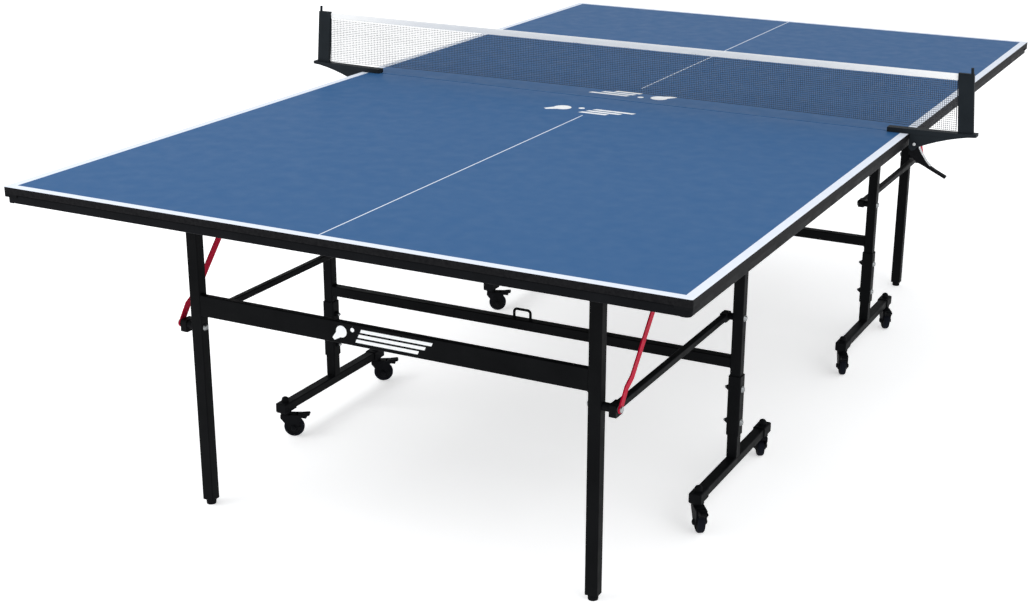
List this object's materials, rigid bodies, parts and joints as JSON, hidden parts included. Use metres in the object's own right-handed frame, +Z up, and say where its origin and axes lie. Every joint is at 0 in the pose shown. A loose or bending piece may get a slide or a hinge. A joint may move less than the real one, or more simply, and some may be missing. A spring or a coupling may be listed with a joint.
{
  "type": "table tennis table",
  "caption": "Full-size folding table-tennis table on casters: two hinged halves with end legs, braces and stays, and a removable clamp-on net.",
  "frame": {"origin": "on the floor under the middle of the net", "axes": "+X along the net, +Y along the table towards half b, +Z up"},
  "size_m": [1.844, 2.74, 0.9287],
  "materials": {
    "playing_board": "satin paint, white lines",
    "black_steel": "semi-gloss powder coat",
    "red_steel": "semi-gloss powder coat",
    "zinc": "bright zinc plate",
    "black_plastic": "fine moulded texture",
    "tread": "matt",
    "net_cord": "woven net, white tape"
  },
  "bodies": {
    "chassis_a": {"chassis_frame_a": "black_steel", "post_sleeves_a": "black_steel", "foot_end_caps_a": "black_plastic", "chassis_bolts_a": "zinc", "latch_loop_a": "black_steel"},
    "tabletop_a": {"board_a": "playing_board", "apron_rails_a": "black_steel", "corner_caps_a": "black_plastic", "under_frame_a": "black_steel", "hinge_pins_a": "zinc"},
    "leg_frame_a": {"end_legs_a": "black_steel", "leg_bolts_a": "zinc"},
    "brace_pair_a": {"braces_a": "black_steel"},
    "stay_pair_a": {"red_stays_a": "red_steel"},
    "leveller_a_left": {"leveller_a_left": "black_plastic"},
    "caster_fork_a_left_outer": {"caster_fork_a_left_outer": "black_plastic"},
    "caster_wheel_a_left_outer": {"caster_wheel_a_left_outer": "tread"},
    "caster_brake_a_left_outer": {"caster_brake_a_left_outer": "black_plastic"},
    "caster_fork_a_left_inner": {"caster_fork_a_left_inner": "black_plastic"},
    "caster_wheel_a_left_inner": {"caster_wheel_a_left_inner": "tread"},
    "caster_brake_a_left_inner": {"caster_brake_a_left_inner": "black_plastic"},
    "leveller_a_right": {"leveller_a_right": "black_plastic"},
    "caster_fork_a_right_outer": {"caster_fork_a_right_outer": "black_plastic"},
    "caster_wheel_a_right_outer": {"caster_wheel_a_right_outer": "tread"},
    "caster_brake_a_right_outer": {"caster_brake_a_right_outer": "black_plastic"},
    "caster_fork_a_right_inner": {"caster_fork_a_right_inner": "black_plastic"},
    "caster_wheel_a_right_inner": {"caster_wheel_a_right_inner": "tread"},
    "caster_brake_a_right_inner": {"caster_brake_a_right_inner": "black_plastic"},
    "chassis_b": {"chassis_frame_b": "black_steel", "post_sleeves_b": "black_steel", "foot_end_caps_b": "black_plastic", "chassis_bolts_b": "zinc", "latch_loop_b": "black_steel"},
    "tabletop_b": {"board_b": "playing_board", "apron_rails_b": "black_steel", "corner_caps_b": "black_plastic", "under_frame_b": "black_steel", "hinge_pins_b": "zinc"},
    "leg_frame_b": {"end_legs_b": "black_steel", "leg_bolts_b": "zinc"},
    "brace_pair_b": {"braces_b": "black_steel"},
    "stay_pair_b": {"red_stays_b": "red_steel"},
    "leveller_b_left": {"leveller_b_left": "black_plastic"},
    "caster_fork_b_left_outer": {"caster_fork_b_left_outer": "black_plastic"},
    "caster_wheel_b_left_outer": {"caster_wheel_b_left_outer": "tread"},
    "caster_brake_b_left_outer": {"caster_brake_b_left_outer": "black_plastic"},
    "caster_fork_b_left_inner": {"caster_fork_b_left_inner": "black_plastic"},
    "caster_wheel_b_left_inner": {"caster_wheel_b_left_inner": "tread"},
    "caster_brake_b_left_inner": {"caster_brake_b_left_inner": "black_plastic"},
    "leveller_b_right": {"leveller_b_right": "black_plastic"},
    "caster_fork_b_right_outer": {"caster_fork_b_right_outer": "black_plastic"},
    "caster_wheel_b_right_outer": {"caster_wheel_b_right_outer": "tread"},
    "caster_brake_b_right_outer": {"caster_brake_b_right_outer": "black_plastic"},
    "caster_fork_b_right_inner": {"caster_fork_b_right_inner": "black_plastic"},
    "caster_wheel_b_right_inner": {"caster_wheel_b_right_inner": "tread"},
    "caster_brake_b_right_inner": {"caster_brake_b_right_inner": "black_plastic"},
    "net_set": {"net": "net_cord", "net_brackets": "black_steel"},
    "clamp_left": {"clamp_lever_left": "black_plastic"},
    "clamp_right": {"clamp_lever_right": "black_plastic"}
  },
  "joints": [
    {"name": "fold_a", "type": "hinge", "parent": "chassis_a", "child": "tabletop_a", "pos_m": [0, -0.522, 0.712], "axis": [-1, 0, 0], "range_deg": [0, 90]},
    {"name": "fold_b", "type": "hinge", "parent": "chassis_b", "child": "tabletop_b", "pos_m": [0, 0.522, 0.712], "axis": [1, 0, 0], "range_deg": [0, 90]},
    {"name": "leg_fold_a", "type": "hinge", "parent": "tabletop_a", "child": "leg_frame_a", "pos_m": [0, -1.125, 0.712], "axis": [1, 0, 0], "range_deg": [0, 90]},
    {"name": "leg_fold_b", "type": "hinge", "parent": "tabletop_b", "child": "leg_frame_b", "pos_m": [0, 1.125, 0.712], "axis": [-1, 0, 0], "range_deg": [0, 90]},
    {"name": "brace_fold_a", "type": "hinge", "parent": "chassis_a", "child": "brace_pair_a", "pos_m": [0, -0.522, 0.424], "axis": [-1, 0, 0], "range_deg": [0, 90]},
    {"name": "brace_fold_b", "type": "hinge", "parent": "chassis_b", "child": "brace_pair_b", "pos_m": [0, 0.522, 0.424], "axis": [1, 0, 0], "range_deg": [0, 90]},
    {"name": "stay_fold_a", "type": "hinge", "parent": "tabletop_a", "child": "stay_pair_a", "pos_m": [0, -0.867, 0.712], "axis": [1, 0, 0], "range_deg": [0, 131.91]},
    {"name": "stay_fold_b", "type": "hinge", "parent": "tabletop_b", "child": "stay_pair_b", "pos_m": [0, 0.867, 0.712], "axis": [-1, 0, 0], "range_deg": [0, 131.91]},
    {"name": "roll_apart", "type": "slide", "parent": "chassis_a", "child": "chassis_b", "axis": [0, 1, 0], "range_m": [0, 0.6]},
    {"name": "net_lift_off", "type": "slide", "parent": "chassis_a", "child": "net_set", "axis": [0, 0, 1], "range_m": [0, 0.3]},
    {"name": "clamp_lever_left", "type": "hinge", "parent": "net_set", "child": "clamp_left", "pos_m": [-0.778, 0, 0.737], "axis": [0, 1, 0], "range_deg": [0, 25], "stiffness_Nm_per_rad": 0.6, "springref_deg": -22.92},
    {"name": "clamp_lever_right", "type": "hinge", "parent": "net_set", "child": "clamp_right", "pos_m": [0.778, 0, 0.737], "axis": [0, -1, 0], "range_deg": [0, 25], "stiffness_Nm_per_rad": 0.6, "springref_deg": -22.92},
    {"name": "leveller_a_left_screw", "type": "slide", "parent": "leg_frame_a", "child": "leveller_a_left", "axis": [0, 0, -1], "range_m": [0, 0.012]},
    {"name": "caster_swivel_a_left_outer", "type": "hinge", "parent": "chassis_a", "child": "caster_fork_a_left_outer", "pos_m": [-0.545, -0.735, 0.058], "axis": [0, 0, 1], "continuous": true},
    {"name": "wheel_spin_a_left_outer", "type": "hinge", "parent": "caster_fork_a_left_outer", "child": "caster_wheel_a_left_outer", "pos_m": [-0.52702, -0.72623, 0.025], "axis": [-0.4384, 0.8988, 0], "continuous": true},
    {"name": "brake_pedal_a_left_outer", "type": "hinge", "parent": "caster_fork_a_left_outer", "child": "caster_brake_a_left_outer", "pos_m": [-0.51534, -0.72053, 0.053], "axis": [-0.4384, 0.8988, 0], "range_deg": [0, 10]},
    {"name": "caster_swivel_a_left_inner", "type": "hinge", "parent": "chassis_a", "child": "caster_fork_a_left_inner", "pos_m": [-0.545, -0.322, 0.058], "axis": [0, 0, 1], "continuous": true},
    {"name": "wheel_spin_a_left_inner", "type": "hinge", "parent": "caster_fork_a_left_inner", "child": "caster_wheel_a_left_inner", "pos_m": [-0.52804, -0.3114, 0.025], "axis": [-0.5299, 0.848, 0], "continuous": true},
    {"name": "brake_pedal_a_left_inner", "type": "hinge", "parent": "caster_fork_a_left_inner", "child": "caster_brake_a_left_inner", "pos_m": [-0.51701, -0.30451, 0.053], "axis": [-0.5299, 0.848, 0], "range_deg": [0, 10]},
    {"name": "leveller_a_right_screw", "type": "slide", "parent": "leg_frame_a", "child": "leveller_a_right", "axis": [0, 0, -1], "range_m": [0, 0.012]},
    {"name": "caster_swivel_a_right_outer", "type": "hinge", "parent": "chassis_a", "child": "caster_fork_a_right_outer", "pos_m": [0.545, -0.735, 0.058], "axis": [0, 0, 1], "continuous": true},
    {"name": "wheel_spin_a_right_outer", "type": "hinge", "parent": "caster_fork_a_right_outer", "child": "caster_wheel_a_right_outer", "pos_m": [0.55676, -0.75118, 0.025], "axis": [0.809, 0.5878, 0], "continuous": true},
    {"name": "brake_pedal_a_right_outer", "type": "hinge", "parent": "caster_fork_a_right_outer", "child": "caster_brake_a_right_outer", "pos_m": [0.5644, -0.7617, 0.053], "axis": [0.809, 0.5878, 0], "range_deg": [0, 10]},
    {"name": "caster_swivel_a_right_inner", "type": "hinge", "parent": "chassis_a", "child": "caster_fork_a_right_inner", "pos_m": [0.545, -0.322, 0.058], "axis": [0, 0, 1], "continuous": true},
    {"name": "wheel_spin_a_right_inner", "type": "hinge", "parent": "caster_fork_a_right_inner", "child": "caster_wheel_a_right_inner", "pos_m": [0.53561, -0.30434, 0.025], "axis": [-0.8829, -0.4695, 0], "continuous": true},
    {"name": "brake_pedal_a_right_inner", "type": "hinge", "parent": "caster_fork_a_right_inner", "child": "caster_brake_a_right_inner", "pos_m": [0.52951, -0.29286, 0.053], "axis": [-0.8829, -0.4695, 0], "range_deg": [0, 10]},
    {"name": "leveller_b_left_screw", "type": "slide", "parent": "leg_frame_b", "child": "leveller_b_left", "axis": [0, 0, -1], "range_m": [0, 0.012]},
    {"name": "caster_swivel_b_left_outer", "type": "hinge", "parent": "chassis_b", "child": "caster_fork_b_left_outer", "pos_m": [-0.545, 0.735, 0.058], "axis": [0, 0, 1], "continuous": true},
    {"name": "wheel_spin_b_left_outer", "type": "hinge", "parent": "caster_fork_b_left_outer", "child": "caster_wheel_b_left_outer", "pos_m": [-0.52734, 0.74439, 0.025], "axis": [-0.4695, 0.8829, 0], "continuous": true},
    {"name": "brake_pedal_b_left_outer", "type": "hinge", "parent": "caster_fork_b_left_outer", "child": "caster_brake_b_left_outer", "pos_m": [-0.51586, 0.75049, 0.053], "axis": [-0.4695, 0.8829, 0], "range_deg": [0, 10]},
    {"name": "caster_swivel_b_left_inner", "type": "hinge", "parent": "chassis_b", "child": "caster_fork_b_left_inner", "pos_m": [-0.545, 0.322, 0.058], "axis": [0, 0, 1], "continuous": true},
    {"name": "wheel_spin_b_left_inner", "type": "hinge", "parent": "caster_fork_b_left_inner", "child": "caster_wheel_b_left_inner", "pos_m": [-0.52702, 0.33077, 0.025], "axis": [-0.4384, 0.8988, 0], "continuous": true},
    {"name": "brake_pedal_b_left_inner", "type": "hinge", "parent": "caster_fork_b_left_inner", "child": "caster_brake_b_left_inner", "pos_m": [-0.51534, 0.33647, 0.053], "axis": [-0.4384, 0.8988, 0], "range_deg": [0, 10]},
    {"name": "leveller_b_right_screw", "type": "slide", "parent": "leg_frame_b", "child": "leveller_b_right", "axis": [0, 0, -1], "range_m": [0, 0.012]},
    {"name": "caster_swivel_b_right_outer", "type": "hinge", "parent": "chassis_b", "child": "caster_fork_b_right_outer", "pos_m": [0.545, 0.735, 0.058], "axis": [0, 0, 1], "continuous": true},
    {"name": "wheel_spin_b_right_outer", "type": "hinge", "parent": "caster_fork_b_right_outer", "child": "caster_wheel_b_right_outer", "pos_m": [0.555, 0.71768, 0.025], "axis": [0.866, 0.5, 0], "continuous": true},
    {"name": "brake_pedal_b_right_outer", "type": "hinge", "parent": "caster_fork_b_right_outer", "child": "caster_brake_b_right_outer", "pos_m": [0.5615, 0.70642, 0.053], "axis": [0.866, 0.5, 0], "range_deg": [0, 10]},
    {"name": "caster_swivel_b_right_inner", "type": "hinge", "parent": "chassis_b", "child": "caster_fork_b_right_inner", "pos_m": [0.545, 0.322, 0.058], "axis": [0, 0, 1], "continuous": true},
    {"name": "wheel_spin_b_right_inner", "type": "hinge", "parent": "caster_fork_b_right_inner", "child": "caster_wheel_b_right_inner", "pos_m": [0.55313, 0.30373, 0.025], "axis": [0.9135, 0.4067, 0], "continuous": true},
    {"name": "brake_pedal_b_right_inner", "type": "hinge", "parent": "caster_fork_b_right_inner", "child": "caster_brake_b_right_inner", "pos_m": [0.55842, 0.29185, 0.053], "axis": [0.9135, 0.4067, 0], "range_deg": [0, 10]}
  ],
  "couplings": [
    {"joint": "leg_fold_a", "follows": "fold_a", "ratio": 1},
    {"joint": "brace_fold_a", "follows": "fold_a", "ratio": 1},
    {"joint": "stay_fold_a", "follows": "fold_a", "ratio": 1.4651},
    {"joint": "leg_fold_b", "follows": "fold_b", "ratio": 1},
    {"joint": "brace_fold_b", "follows": "fold_b", "ratio": 1},
    {"joint": "stay_fold_b", "follows": "fold_b", "ratio": 1.4651}
  ]
}
